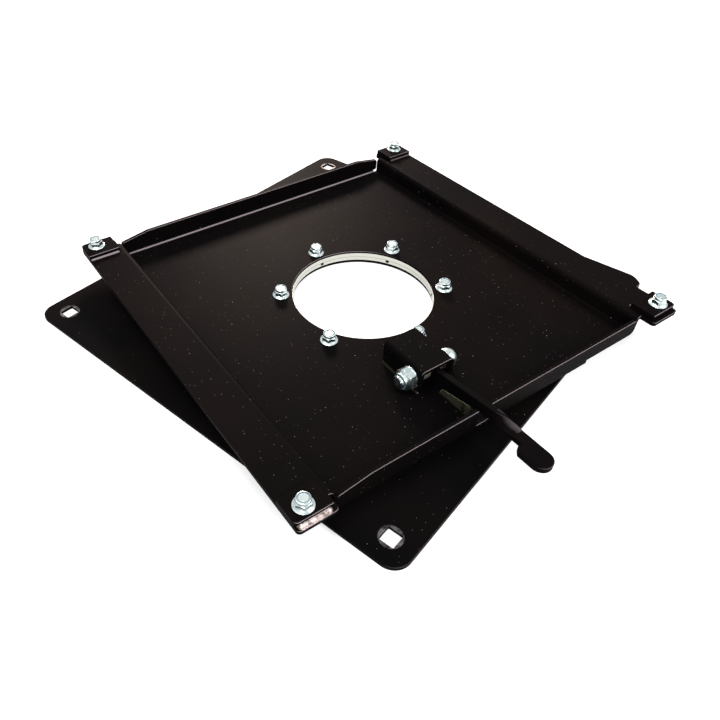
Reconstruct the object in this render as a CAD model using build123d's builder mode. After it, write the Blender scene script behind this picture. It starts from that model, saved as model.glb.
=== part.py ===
"""Swivel seat base for a camper: a base plate, a ball race, and a folded pan that carries the seat.

Millimetres, +Z up. The origin is on the swivel axis, on the underside of the base plate.
The pan's rails run along Y, the lever points to the front, -Y, and the base plate stands turned.
"""
from build123d import *
from math import asin, cos, radians, sin, sqrt
import os

os.makedirs("parts", exist_ok=True)

# Base plate, in its own axes, which stand turned against the pan
plate_thickness = 3.0
plate_turn = 15.2
plate_centre_x = -2.0
plate_centre_y = 11.7
fixing_spacing_x = 345.0
fixing_spacing_y = 331.0
fixing_edge = 18.5
plate_corner_radius = 13.0
square_hole = 11.0
square_hole_radius = 0.8
recess_radius = 8.2
recess_depth = 0.4
bore_past_race = 1.0

# Ball race between the plate and the pan
race_gap = 0.3
inner_lower_height = 3.3
inner_upper_height = 2.2
inner_race_radius = 60.0
ball_past_screw = 8.0
ball_radius = 2.0
ball_count = 18
land_gap = 0.9
seat_clearance = 0.05
outer_race_rim = 6.0
cage_thickness = 1.0
cage_height = 4.3
cage_clearance = 0.1
rivet_past_ball = 8.0
rivet_count = 6
rivet_radius = 2.5
rivet_head_radius = 4.0
race_notch_width = 3.0
race_notch_depth = 1.6
race_notch_height = 2.5
spigot_height = 1.6

# Folded sheet of the pan
sheet = 3.0
bend_inner_radius = 1.5
pan_hole_past_race = 0.7
pan_centre_x = -1.0
rail_past_bolt = 11.5
rail_width = 34.3
rail_end = 10.3
rail_centre_y = -0.2
rail_rise = 14.4
rail_corner_radius = 3.0
flange_centre_y = 1.4
flange_half_depth = 162.85
flange_rise = 17.0
flange_full_half = 120.0
flange_end_rise = 12.6
flange_corner_radius = 2.0
front_right_gap = 6.7
front_right_start = 86.0
front_right_rise = 4.8
wall_end_gap = 0.4
corner_relief = 3.5
relief_rise = 2.0
strip_rise = 5.5

# Seat pads and bolts
pad_width = 27.5
pad_depth = 21.0
pad_thickness = 4.2
pad_bolt_offset = 1.9
pad_outer_radius = 3.5
seat_spacing_x = 338.0
seat_spacing_y = 325.0
seat_centre_y = 1.3
seat_bolt_head_flats = 10.0
seat_bolt_head = 4.0
thread_clearance = 0.05
hole_clearance = 0.25

# Screws that clamp the race
screw_past_bore = 10.0
screw_count = 6
screw_head_radius = 5.6
screw_start = 30.0

# The flanged lock nut on the race screws and the seat bolts
screw_radius = 3.0
nut_flats = 10.0
nut_hexagon = 5.4
nut_flange_radius = 7.1
nut_flange = 1.1
nut_flange_cone = 1.0
nut_collar = 2.4
nut_collar_radius = 4.9
collar_wall = 0.8
collar_lip = 0.4
bolt_end_depth = 0.3

# Lever, its bracket, pivot and lock plate
lever_centre_x = -24.6
lever_thickness = 5.0
pivot_y = -108.0
pivot_rise = 9.4
pivot_radius = 5.0
pivot_running_clearance = 0.06
bracket_left = -41.0
bracket_right = -9.4
bracket_front = -118.2
bracket_back = -77.0
bracket_rise = 20.0
bracket_bend_radius = 1.0
washer_radius = 8.4
washer_thickness = 1.6
head_radius = 7.8
head_height = 9.4
head_rim = 2.0
pivot_nut_flats = 16.0
pivot_nut_hexagon = 7.0
pivot_nut_flange_radius = 8.5
pivot_nut_flange = 0.8
pivot_nut_collar = 3.0
pivot_nut_collar_radius = 7.2
spacer_radius = 6.5
side_gap = 0.2
pivot_end = 2.0
slot_width = 6.2
slot_margin = 1.7
slot_front = -159.0
flange_notch_width = 12.0
flange_notch_rise = 2.0
flange_notch_radius = 2.0
hub_radius = 7.0
bar_top_start = 15.2
bar_top_end = 22.2
bar_bottom_start = 2.2
bar_bottom_end = 13.7
lock_back = -126.5
lock_front_radius = 48.0
lock_notch_width = 6.0
lock_notch_margin = 1.0
lock_slit_width = 2.5
lock_slit_y = -148.2
lock_slit_margin = 1.0
paddle_centre_x = -26.5
paddle_width = 16.0
paddle_thickness = 4.4
paddle_top_rise = 16.3
paddle_start = -199.0
paddle_end = -222.5
paddle_corner_radius = 3.5
neck_width = 9.0
twist_start = -172.0
twist_end = -192.0
twist_steps = 4

# Ear on the right rail's outer edge
ear_reach = 8.8
ear_back = -84.0
ear_front = -137.3
ear_tip_back = -130.5
ear_tip_front = -134.5
ear_taper = 0.7
ear_radius = 2.5
ear_root = 10.0

# The race's circles, each from the one inside it
bore_radius = inner_race_radius + bore_past_race
pan_hole_radius = inner_race_radius + pan_hole_past_race
screw_circle = inner_race_radius + screw_past_bore
ball_circle = screw_circle + ball_past_screw
rivet_circle = ball_circle + rivet_past_ball
outer_race_radius = rivet_circle + outer_race_rim

# Levels and places that follow
race_floor = plate_thickness + race_gap
ball_level = race_floor + inner_lower_height
pan_under = ball_level + inner_upper_height
floor_top = pan_under + sheet
outer_race_top = pan_under - race_gap
rail_top = floor_top + rail_rise
pad_top = rail_top + pad_thickness
pivot_level = floor_top + pivot_rise
bend_middle = bend_inner_radius + sheet / 2
inner_land = ball_circle - land_gap
outer_land = ball_circle + land_gap
screw_hole_radius = screw_radius + hole_clearance
rail_half_width = seat_spacing_x / 2 + rail_past_bolt
rail_half_length = seat_spacing_y / 2 + rail_end
tray_half_width = rail_half_width - rail_width
wall_half_length = flange_half_depth - wall_end_gap
relief_start = tray_half_width - corner_relief
front_right_end = tray_half_width - front_right_gap
pivot_hole_radius = pivot_radius + pivot_running_clearance
seat_centre = (pan_centre_x, seat_centre_y)
turned = Plane(
    origin=(0, 0, 0),
    x_dir=(cos(radians(plate_turn)), sin(radians(plate_turn)), 0),
    z_dir=(0, 0, 1),
)

# Lock plate's place in the lever's plane, and the notch in the base plate that takes it when locked
lock_bottom = plate_thickness + race_gap
lock_drop = pivot_level - lock_bottom
lock_front_bottom = pivot_y - sqrt(lock_front_radius**2 - lock_drop**2)
notch_back = lock_back + lock_notch_margin
notch_front = pivot_y - lock_front_radius - lock_notch_margin
notch_middle = (notch_back + notch_front) / 2
notch_length = notch_back - notch_front

# Base plate: square holes in shallow round recesses, the bore, two lock notches and rivet holes
with BuildPart() as base_plate:
    with BuildSketch(turned):
        with Locations((plate_centre_x, plate_centre_y)):
            RectangleRounded(
                fixing_spacing_x + 2 * fixing_edge,
                fixing_spacing_y + 2 * fixing_edge,
                plate_corner_radius,
            )
            with GridLocations(fixing_spacing_x, fixing_spacing_y, 2, 2):
                RectangleRounded(square_hole, square_hole, square_hole_radius, mode=Mode.SUBTRACT)
        Circle(bore_radius, mode=Mode.SUBTRACT)
        with PolarLocations(0, 2):
            with Locations((lever_centre_x, notch_middle)):
                Rectangle(lock_notch_width, notch_length, mode=Mode.SUBTRACT)
    extrude(amount=plate_thickness)
    with BuildSketch(turned.offset(plate_thickness)):
        with Locations((plate_centre_x, plate_centre_y)):
            with GridLocations(fixing_spacing_x, fixing_spacing_y, 2, 2):
                Circle(recess_radius)
    extrude(amount=-recess_depth, mode=Mode.SUBTRACT)
    with BuildSketch(turned):
        with PolarLocations(rivet_circle, rivet_count):
            Circle(rivet_radius + seat_clearance)
    extrude(amount=plate_thickness, mode=Mode.SUBTRACT)
    with BuildSketch(turned):
        with PolarLocations(rivet_circle, rivet_count):
            Circle(rivet_head_radius)
    extrude(
        amount=rivet_head_radius - rivet_radius,
        taper=45,
        mode=Mode.SUBTRACT,
    )

# Outer race, with the balls' groove in its inner wall, riveted to the base plate
with BuildPart() as outer_race:
    with BuildSketch(Plane.XZ):
        with Locations(((outer_land + outer_race_radius) / 2, (plate_thickness + outer_race_top) / 2)):
            Rectangle(outer_race_radius - outer_land, outer_race_top - plate_thickness)
        with Locations((ball_circle, ball_level)):
            Circle(ball_radius + seat_clearance, mode=Mode.SUBTRACT)
    revolve(axis=Axis.Z)
    with BuildSketch(turned.offset(plate_thickness)):
        with PolarLocations(rivet_circle, rivet_count):
            Circle(rivet_radius + seat_clearance)
    extrude(amount=outer_race_top - plate_thickness, mode=Mode.SUBTRACT)
    with BuildSketch(turned.offset(outer_race_top)):
        with PolarLocations(rivet_circle, rivet_count):
            Circle(rivet_head_radius)
    extrude(
        amount=-(rivet_head_radius - rivet_radius),
        taper=45,
        mode=Mode.SUBTRACT,
    )

# Rivets, flush at both ends
rivet_length = outer_race_top
rivet_cone = rivet_head_radius - rivet_radius
with BuildPart() as race_rivets:
    with BuildSketch(turned):
        with PolarLocations(rivet_circle, rivet_count):
            Circle(rivet_radius)
    extrude(amount=rivet_length)
    with BuildSketch(turned):
        with PolarLocations(rivet_circle, rivet_count):
            Circle(rivet_head_radius)
    extrude(amount=rivet_cone, taper=45)
    with BuildSketch(turned.offset(rivet_length)):
        with PolarLocations(rivet_circle, rivet_count):
            Circle(rivet_head_radius)
    extrude(amount=-rivet_cone, taper=45)

# Balls in the race's groove
with BuildPart() as bearing_balls:
    with Locations((0, 0, ball_level)):
        with PolarLocations(ball_circle, ball_count):
            Sphere(ball_radius)

# Cage: a ring between the lands, with a pocket open at the top for each ball
with BuildPart() as ball_cage:
    with BuildSketch(Plane.XY.offset(race_floor)):
        Circle(ball_circle + cage_thickness / 2)
        Circle(ball_circle - cage_thickness / 2, mode=Mode.SUBTRACT)
    extrude(amount=cage_height)
    with Locations((0, 0, ball_level)):
        with PolarLocations(ball_circle, ball_count):
            Cylinder(ball_radius + cage_clearance, 2 * land_gap, rotation=(0, 90, 0), mode=Mode.SUBTRACT)

# Inner race, split at the balls' level and clamped under the pan
with BuildPart() as inner_race_lower:
    with BuildSketch(Plane.XZ):
        with Locations(((inner_race_radius + inner_land) / 2, (race_floor + ball_level) / 2)):
            Rectangle(inner_land - inner_race_radius, inner_lower_height)
        with Locations((ball_circle, ball_level)):
            Circle(ball_radius + race_gap, mode=Mode.SUBTRACT)
    revolve(axis=Axis.Z)
    with BuildSketch(Plane.XY.offset(race_floor)):
        with PolarLocations(screw_circle, screw_count, start_angle=screw_start):
            Circle(screw_hole_radius)
    extrude(amount=inner_lower_height, mode=Mode.SUBTRACT)
    with BuildSketch(Plane.XY.offset(race_floor)):
        with PolarLocations(screw_circle, screw_count, start_angle=screw_start):
            Circle(screw_head_radius + hole_clearance)
    extrude(
        amount=screw_head_radius - screw_radius,
        taper=45,
        mode=Mode.SUBTRACT,
    )
    with BuildSketch(Plane.XY.offset(ball_level)):
        with PolarLocations(inner_race_radius, screw_count, start_angle=screw_start):
            Rectangle(2 * race_notch_depth, race_notch_width)
    extrude(amount=-race_notch_height, mode=Mode.SUBTRACT)

# its upper half has a spigot that centres the pan
spigot_radius = pan_hole_radius - seat_clearance
with BuildPart() as inner_race_upper:
    with BuildSketch(Plane.XZ):
        with Locations(((inner_race_radius + inner_land) / 2, (ball_level + pan_under) / 2)):
            Rectangle(inner_land - inner_race_radius, inner_upper_height)
        with Locations(((inner_race_radius + spigot_radius) / 2, pan_under + spigot_height / 2)):
            Rectangle(spigot_radius - inner_race_radius, spigot_height)
        with Locations((ball_circle, ball_level)):
            Circle(ball_radius + race_gap, mode=Mode.SUBTRACT)
    revolve(axis=Axis.Z)
    with BuildSketch(Plane.XY.offset(ball_level)):
        with PolarLocations(screw_circle, screw_count, start_angle=screw_start):
            Circle(screw_hole_radius)
    extrude(amount=inner_upper_height, mode=Mode.SUBTRACT)

# Pan: one folded sheet, with a rail joggled up along each side and a flange at the front and back
wall_middle = tray_half_width + sheet / 2
flange_middle = flange_half_depth + sheet / 2
floor_middle = pan_under + sheet / 2
rail_middle = rail_top - sheet / 2
wall_front = flange_centre_y - wall_half_length
wall_back = flange_centre_y + wall_half_length
tongue_inner = wall_middle + bend_middle
tongue_width = rail_half_width - tongue_inner
flange_top = floor_top + flange_rise
rail_edge = pan_centre_x + rail_half_width
front_face = flange_centre_y - flange_half_depth - sheet
back_face = flange_centre_y + flange_half_depth + sheet
slot_back = lock_back + slot_margin
slot_middle = (slot_back + slot_front) / 2
slot_length = slot_back - slot_front
with BuildPart() as seat_pan:
    # floor, walls and rails
    with BuildSketch(Plane(origin=(pan_centre_x, wall_back, 0), x_dir=(1, 0, 0), z_dir=(0, -1, 0))):
        with BuildLine():
            FilletPolyline(
                (-rail_half_width, rail_middle),
                (-wall_middle, rail_middle),
                (-wall_middle, floor_middle),
                (wall_middle, floor_middle),
                (wall_middle, rail_middle),
                (rail_half_width, rail_middle),
                radius=bend_middle,
            )
        trace(line_width=sheet)
    extrude(amount=wall_back - wall_front)
    # the bends that turn the floor up into the flanges, which stop short of the corners
    for end, bend_left, bend_right in ((-1, relief_start, front_right_start), (1, relief_start, relief_start)):
        with BuildSketch(Plane(origin=(pan_centre_x - bend_left, flange_centre_y, 0), x_dir=(0, 1, 0), z_dir=(1, 0, 0))):
            with BuildLine():
                FilletPolyline(
                    (end * flange_middle, floor_top + strip_rise),
                    (end * flange_middle, floor_middle),
                    (end * pan_hole_radius, floor_middle),
                    radius=bend_middle,
                )
            trace(line_width=sheet)
        extrude(amount=bend_left + bend_right)
    # the front flange, whose right end stays high and whose lower edge rises towards it
    with BuildSketch(Plane(origin=(pan_centre_x, front_face, 0), x_dir=(1, 0, 0), z_dir=(0, -1, 0))):
        with BuildLine():
            FilletPolyline(
                (-tray_half_width, floor_top + relief_rise),
                (front_right_end, floor_top + front_right_rise),
                (front_right_end, flange_top),
                (-flange_full_half, flange_top),
                (-tray_half_width, floor_top + flange_end_rise),
                radius=flange_corner_radius,
                close=True,
            )
        make_face()
    extrude(amount=-sheet)
    # the back flange
    with BuildSketch(Plane(origin=(pan_centre_x, back_face, 0), x_dir=(1, 0, 0), z_dir=(0, -1, 0))):
        with BuildLine():
            FilletPolyline(
                (-tray_half_width, floor_top + relief_rise),
                (tray_half_width, floor_top + relief_rise),
                (tray_half_width, floor_top + flange_end_rise),
                (flange_full_half, flange_top),
                (-flange_full_half, flange_top),
                (-tray_half_width, floor_top + flange_end_rise),
                radius=flange_corner_radius,
                close=True,
            )
        make_face()
    extrude(amount=sheet)
    # the rails' tongues, which run on past the walls
    with BuildSketch(Plane.XY.offset(rail_top)):
        for side in (-1, 1):
            with Locations((pan_centre_x + side * (tongue_inner + tongue_width / 2), rail_centre_y)):
                RectangleRounded(tongue_width, 2 * rail_half_length, rail_corner_radius)
    extrude(amount=-sheet)
    # the ear on the right rail's outer edge
    with BuildSketch(Plane.XY.offset(rail_top)):
        with BuildLine():
            FilletPolyline(
                (rail_edge - ear_root, ear_back),
                (rail_edge, ear_back),
                (rail_edge + ear_reach, ear_tip_back),
                (rail_edge + ear_reach * ear_taper, ear_tip_front),
                (rail_edge - ear_root, ear_front),
                radius=ear_radius,
                close=True,
            )
        make_face()
    extrude(amount=-sheet)
    # the opening over the race, its screw holes and the slot for the lock plate
    with BuildSketch(Plane.XY.offset(pan_under)):
        Circle(pan_hole_radius)
        with PolarLocations(screw_circle, screw_count, start_angle=screw_start):
            Circle(screw_hole_radius)
        with Locations((lever_centre_x, slot_middle)):
            SlotOverall(slot_length, slot_width, rotation=90)
    extrude(amount=sheet, mode=Mode.SUBTRACT)
    # the notch that the lever passes through
    with BuildSketch(Plane(origin=(lever_centre_x, front_face, 0), x_dir=(1, 0, 0), z_dir=(0, -1, 0))):
        with Locations((0, floor_top + flange_notch_rise + flange_rise / 2)):
            RectangleRounded(flange_notch_width, flange_rise, flange_notch_radius)
        with Locations((0, flange_top)):
            Rectangle(flange_notch_width, flange_rise)
    extrude(amount=-sheet, mode=Mode.SUBTRACT)
    # the holes for the seat bolts
    with BuildSketch(Plane.XY.offset(rail_top - sheet)):
        with Locations(seat_centre):
            with GridLocations(seat_spacing_x, seat_spacing_y, 2, 2):
                Circle(screw_hole_radius)
    extrude(amount=sheet, mode=Mode.SUBTRACT)

# Seat pads, welded on the rails' ends, with the outer corners rounded more
pads = {}
for side, side_name in ((-1, "left"), (1, "right")):
    for end, end_name in ((-1, "front"), (1, "back")):
        pad_x = pan_centre_x + side * (rail_half_width - pad_width / 2)
        bolt_x = pan_centre_x + side * seat_spacing_x / 2
        bolt_y = seat_centre_y + end * seat_spacing_y / 2
        pad_y = bolt_y - end * pad_bolt_offset
        with BuildPart() as pad:
            with BuildSketch(Plane.XY.offset(rail_top)) as pad_outline:
                with Locations((pad_x, pad_y)):
                    Rectangle(pad_width, pad_depth)
                corners = pad_outline.vertices()
                outer = corners.sort_by(Axis.X)[-2:] if side > 0 else corners.sort_by(Axis.X)[:2]
                outer_end = outer.sort_by(Axis.Y)[-1] if end > 0 else outer.sort_by(Axis.Y)[0]
                fillet(outer_end, radius=pad_outer_radius)
            extrude(amount=pad_thickness)
            with BuildSketch(Plane.XY.offset(rail_top)):
                with Locations((bolt_x, bolt_y)):
                    Circle(screw_hole_radius)
            extrude(amount=pad_thickness, mode=Mode.SUBTRACT)
        pads[f"pad_{end_name}_{side_name}"] = pad


# A lock nut: a hexagon on a flange, with a collar that closes over a nylon ring
def lock_nut(bolt_radius, flats, hexagon, flange_radius, flange, collar, collar_radius):
    bore = bolt_radius + thread_clearance
    ring_radius = collar_radius - collar_wall
    lip_radius = bore + collar_wall
    top = hexagon + collar
    lip = top - collar_lip
    wall_top = top - collar_wall
    with BuildPart() as nut:
        with BuildSketch():
            RegularPolygon(radius=flats / 2, side_count=6, major_radius=False)
        extrude(amount=hexagon)
        with BuildSketch(Plane.XZ):
            with BuildLine():
                Polyline(
                    (bore, 0),
                    (flange_radius, 0),
                    (flange_radius, flange),
                    (collar_radius, flange + nut_flange_cone),
                    (bore, flange + nut_flange_cone),
                    close=True,
                )
            make_face()
            with BuildLine():
                Polyline(
                    (bore, flange + nut_flange_cone),
                    (collar_radius, flange + nut_flange_cone),
                    (collar_radius, wall_top),
                    (ring_radius, top),
                    (lip_radius, top),
                    (lip_radius, lip),
                    (ring_radius, wall_top),
                    (ring_radius, hexagon),
                    (bore, hexagon),
                    close=True,
                )
            make_face()
        revolve(axis=Axis.Z)
        Cylinder(bore, 4 * hexagon, mode=Mode.SUBTRACT)
    with BuildPart() as ring:
        with BuildSketch(Plane.XZ):
            with BuildLine():
                Polyline(
                    (bore, hexagon),
                    (ring_radius, hexagon),
                    (ring_radius, wall_top),
                    (lip_radius, lip),
                    (bore, lip),
                    close=True,
                )
            make_face()
        revolve(axis=Axis.Z)
    return nut.part, ring.part


small_nut, small_ring = lock_nut(
    screw_radius, nut_flats, nut_hexagon, nut_flange_radius, nut_flange, nut_collar, nut_collar_radius
)
small_nut_height = nut_hexagon + nut_collar

# Race screws, countersunk from below, and their nuts on the pan's floor
race_screw_end = floor_top + small_nut_height - bolt_end_depth
with BuildPart() as race_screws:
    with BuildSketch(Plane.XY.offset(race_floor)):
        with PolarLocations(screw_circle, screw_count, start_angle=screw_start):
            Circle(screw_radius)
    extrude(amount=race_screw_end - race_floor)
    with BuildSketch(Plane.XY.offset(race_floor)):
        with PolarLocations(screw_circle, screw_count, start_angle=screw_start):
            Circle(screw_head_radius)
    extrude(amount=screw_head_radius - screw_radius, taper=45)

with BuildPart() as race_nuts:
    with Locations((0, 0, floor_top)):
        with PolarLocations(screw_circle, screw_count, start_angle=screw_start):
            add(small_nut)

with BuildPart() as race_nut_inserts:
    with Locations((0, 0, floor_top)):
        with PolarLocations(screw_circle, screw_count, start_angle=screw_start):
            add(small_ring)

# Seat bolts, up through the rails' ends and pads, and their nuts
seat_bolt_end = pad_top + small_nut_height - bolt_end_depth
rail_under = rail_top - sheet
with BuildPart() as seat_bolts:
    with BuildSketch(Plane.XY.offset(rail_under)):
        with Locations(seat_centre):
            with GridLocations(seat_spacing_x, seat_spacing_y, 2, 2):
                Circle(screw_radius)
    extrude(amount=seat_bolt_end - rail_under)
    with BuildSketch(Plane.XY.offset(rail_under)):
        with Locations(seat_centre):
            with GridLocations(seat_spacing_x, seat_spacing_y, 2, 2):
                RegularPolygon(radius=seat_bolt_head_flats / 2, side_count=6, major_radius=False)
    extrude(amount=-seat_bolt_head)

with BuildPart() as seat_nuts:
    with Locations((*seat_centre, pad_top)):
        with GridLocations(seat_spacing_x, seat_spacing_y, 2, 2):
            add(small_nut)

with BuildPart() as seat_nut_inserts:
    with Locations((*seat_centre, pad_top)):
        with GridLocations(seat_spacing_x, seat_spacing_y, 2, 2):
            add(small_ring)

# Lever bracket: an inverted U of folded sheet, welded on the pan's floor
bracket_top = floor_top + bracket_rise
left_middle = bracket_left + sheet / 2
right_middle = bracket_right - sheet / 2
with BuildPart() as lever_bracket:
    with BuildSketch(Plane(origin=(0, bracket_back, 0), x_dir=(1, 0, 0), z_dir=(0, -1, 0))):
        with BuildLine():
            FilletPolyline(
                (left_middle, floor_top),
                (left_middle, bracket_top - sheet / 2),
                (right_middle, bracket_top - sheet / 2),
                (right_middle, floor_top),
                radius=bracket_bend_radius + sheet / 2,
            )
        trace(line_width=sheet)
    extrude(amount=bracket_back - bracket_front)
    with BuildSketch(Plane(origin=(bracket_left, 0, 0), x_dir=(0, 1, 0), z_dir=(1, 0, 0))):
        with Locations((pivot_y, pivot_level)):
            Circle(pivot_hole_radius)
    extrude(amount=bracket_right - bracket_left, mode=Mode.SUBTRACT)

# Pivot: a dome-headed bolt from the right, with a washer under its head, and a lock nut on the left
pivot_nut_shape, pivot_ring_shape = lock_nut(
    pivot_radius,
    pivot_nut_flats,
    pivot_nut_hexagon,
    pivot_nut_flange_radius,
    pivot_nut_flange,
    pivot_nut_collar,
    pivot_nut_collar_radius,
)
nut_end = bracket_left - pivot_nut_hexagon - pivot_nut_collar
head_seat = bracket_right + washer_thickness
pivot_length = head_seat - nut_end + pivot_end
dome_height = head_height - head_rim
dome_radius = (dome_height**2 + head_radius**2) / (2 * dome_height)
dome_angle = asin(head_radius / dome_radius) / 2
dome_middle = (dome_radius * sin(dome_angle), head_height - dome_radius * (1 - cos(dome_angle)))
to_left = Plane(origin=(bracket_left, pivot_y, pivot_level), x_dir=(0, 1, 0), z_dir=(-1, 0, 0))
to_right = Plane(origin=(head_seat, pivot_y, pivot_level), x_dir=(0, 1, 0), z_dir=(1, 0, 0))
with BuildPart() as bolt_shape:
    with BuildSketch():
        Circle(pivot_radius)
    extrude(amount=-pivot_length)
    with BuildSketch(Plane.XZ):
        with BuildLine():
            Polyline((0, head_height), (0, 0), (head_radius, 0), (head_radius, head_rim))
            ThreePointArc((head_radius, head_rim), dome_middle, (0, head_height))
        make_face()
    revolve(axis=Axis.Z)
with BuildPart() as pivot_bolt:
    add(to_right.location * bolt_shape.part)

with BuildPart() as pivot_washer:
    with BuildSketch(Plane(origin=(bracket_right, pivot_y, pivot_level), x_dir=(0, 1, 0), z_dir=(1, 0, 0))):
        Circle(washer_radius)
        Circle(pivot_hole_radius, mode=Mode.SUBTRACT)
    extrude(amount=washer_thickness)

with BuildPart() as pivot_nut:
    add(to_left.location * pivot_nut_shape)

with BuildPart() as pivot_nut_insert:
    add(to_left.location * pivot_ring_shape)

# Spacers that keep the lever in the middle of the slot
lever_left = lever_centre_x - lever_thickness / 2
lever_right = lever_centre_x + lever_thickness / 2
spacers = {}
for spacer_name, spacer_start, spacer_end in (
    ("spacer_left", bracket_left + sheet, lever_left - side_gap),
    ("spacer_right", lever_right + side_gap, bracket_right - sheet),
):
    with BuildPart() as spacer:
        with BuildSketch(Plane(origin=(spacer_start, pivot_y, pivot_level), x_dir=(0, 1, 0), z_dir=(1, 0, 0))):
            Circle(spacer_radius)
            Circle(pivot_hole_radius, mode=Mode.SUBTRACT)
        extrude(amount=spacer_end - spacer_start)
    spacers[spacer_name] = spacer

# Release lever: a flat bar on edge from its hub, twisted flat into a rounded paddle
paddle_middle = floor_top + paddle_top_rise - paddle_thickness / 2
paddle_radius = paddle_width / 2
paddle_left = paddle_centre_x - paddle_radius
paddle_right = paddle_centre_x + paddle_radius
neck_centre_x = paddle_right - neck_width / 2
lever_plane = Plane(origin=(lever_left, 0, floor_top), x_dir=(0, 1, 0), z_dir=(1, 0, 0))
with BuildPart() as release_lever:
    with BuildSketch(lever_plane):
        with Locations((pivot_y, pivot_rise)):
            Circle(hub_radius)
        with BuildLine():
            Polyline(
                (pivot_y, pivot_rise + hub_radius),
                (pivot_y - hub_radius, bar_top_start),
                (twist_start, bar_top_end),
                (twist_start, bar_bottom_end),
                (pivot_y - hub_radius, bar_bottom_start),
                (pivot_y, pivot_rise - hub_radius),
                close=True,
            )
        make_face()
    extrude(amount=lever_thickness)
    # the twist, as sections that turn from upright to flat
    bar_height = bar_top_end - bar_bottom_end
    bar_middle = floor_top + (bar_top_end + bar_bottom_end) / 2
    for step in range(twist_steps + 1):
        share = step / twist_steps
        angle = radians(90 * share)
        section_x = lever_centre_x + (neck_centre_x - lever_centre_x) * share
        section_y = twist_start + (twist_end - twist_start) * share
        section_z = bar_middle + (paddle_middle - bar_middle) * share
        section = Plane(
            origin=(section_x, section_y, section_z),
            x_dir=(sin(angle), 0, cos(angle)),
            z_dir=(0, -1, 0),
        )
        with BuildSketch(section):
            Rectangle(
                bar_height + (neck_width - bar_height) * share,
                lever_thickness + (paddle_thickness - lever_thickness) * share,
            )
    loft()
    # the neck and the paddle, in line along their right edge
    with BuildSketch(Plane.XY.offset(paddle_middle - paddle_thickness / 2)):
        with Locations((neck_centre_x, (twist_end + paddle_start - paddle_radius) / 2)):
            Rectangle(neck_width, twist_end - paddle_start + paddle_radius)
        with BuildLine():
            Polyline(
                (paddle_right, paddle_start),
                (paddle_left + paddle_corner_radius, paddle_start),
                (paddle_left, paddle_start - paddle_corner_radius),
                (paddle_left, paddle_end + paddle_radius),
                (paddle_right, paddle_end + paddle_radius),
                close=True,
            )
        make_face()
        with Locations((paddle_centre_x, paddle_end + paddle_radius)):
            Circle(paddle_radius)
    extrude(amount=paddle_thickness)
    with BuildSketch(lever_plane):
        with Locations((pivot_y, pivot_rise)):
            Circle(pivot_hole_radius)
    extrude(amount=lever_thickness, mode=Mode.SUBTRACT)

# Lock plate, welded under the lever, which drops through the slot into a notch of the base plate
bar_slope = (bar_bottom_end - bar_bottom_start) / (twist_start - pivot_y + hub_radius)
lock_top_back = bar_bottom_start + bar_slope * (lock_back - pivot_y + hub_radius)
lock_top_front = bar_bottom_start + bar_slope * (lock_front_bottom - pivot_y + hub_radius)
lock_base = lock_bottom - floor_top
lock_slit_top = bar_bottom_start + bar_slope * (lock_slit_y - pivot_y + hub_radius) - lock_slit_margin
lock_slit_middle = (lock_base + lock_slit_top) / 2
with BuildPart() as lock_plate:
    with BuildSketch(lever_plane):
        with BuildLine():
            Polyline(
                (lock_back, lock_base),
                (lock_back, lock_top_back),
                (lock_front_bottom, lock_top_front),
                (lock_front_bottom, lock_base),
                close=True,
            )
        make_face()
        with Locations((pivot_y, pivot_rise)):
            Circle(lock_front_radius, mode=Mode.INTERSECT)
        with Locations((lock_slit_y, lock_slit_middle)):
            Rectangle(lock_slit_width, lock_slit_top - lock_base, mode=Mode.SUBTRACT)
    extrude(amount=lever_thickness)

# Each finished piece in its own file
pieces = {
    "base_plate": base_plate,
    "outer_race": outer_race,
    "race_rivets": race_rivets,
    "bearing_balls": bearing_balls,
    "ball_cage": ball_cage,
    "inner_race_lower": inner_race_lower,
    "inner_race_upper": inner_race_upper,
    "seat_pan": seat_pan,
    **pads,
    "race_screws": race_screws,
    "race_nuts": race_nuts,
    "race_nut_inserts": race_nut_inserts,
    "seat_bolts": seat_bolts,
    "seat_nuts": seat_nuts,
    "seat_nut_inserts": seat_nut_inserts,
    "lever_bracket": lever_bracket,
    "pivot_bolt": pivot_bolt,
    "pivot_washer": pivot_washer,
    "pivot_nut": pivot_nut,
    "pivot_nut_insert": pivot_nut_insert,
    **spacers,
    "release_lever": release_lever,
    "lock_plate": lock_plate,
}
for name, piece in pieces.items():
    piece.part.label = name
    export_step(piece.part, f"parts/{name}.step")
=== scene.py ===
"""Finishes, fasteners, welds and studio for a swivel seat base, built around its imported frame."""

import math

import bmesh
import bpy
from mathutils import Matrix, Vector


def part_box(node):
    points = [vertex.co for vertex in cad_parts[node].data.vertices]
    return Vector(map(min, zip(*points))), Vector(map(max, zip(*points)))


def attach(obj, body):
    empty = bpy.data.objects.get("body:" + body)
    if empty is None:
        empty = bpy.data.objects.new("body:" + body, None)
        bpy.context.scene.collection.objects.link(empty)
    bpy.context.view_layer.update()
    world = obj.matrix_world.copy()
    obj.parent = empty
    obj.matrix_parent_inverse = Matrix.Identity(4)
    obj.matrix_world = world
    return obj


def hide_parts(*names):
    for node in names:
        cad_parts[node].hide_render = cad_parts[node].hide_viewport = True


bl_info = {
    "name": "Swivel seat base",
    "version": (1, 0, 0),
    "blender": (4, 5, 0),
    "location": "3D View > Sidebar > Seat base",
    "description": "Builds the plates, race, fasteners, lever, welds and studio of a swivel seat base",
    "category": "Object",
}

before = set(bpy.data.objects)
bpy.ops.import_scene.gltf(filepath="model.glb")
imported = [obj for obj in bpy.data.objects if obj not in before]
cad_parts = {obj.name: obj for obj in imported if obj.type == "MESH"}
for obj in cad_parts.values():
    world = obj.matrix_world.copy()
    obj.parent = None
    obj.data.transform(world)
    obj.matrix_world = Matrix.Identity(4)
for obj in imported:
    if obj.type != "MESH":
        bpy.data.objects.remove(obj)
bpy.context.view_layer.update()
MM = 0.001

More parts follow.
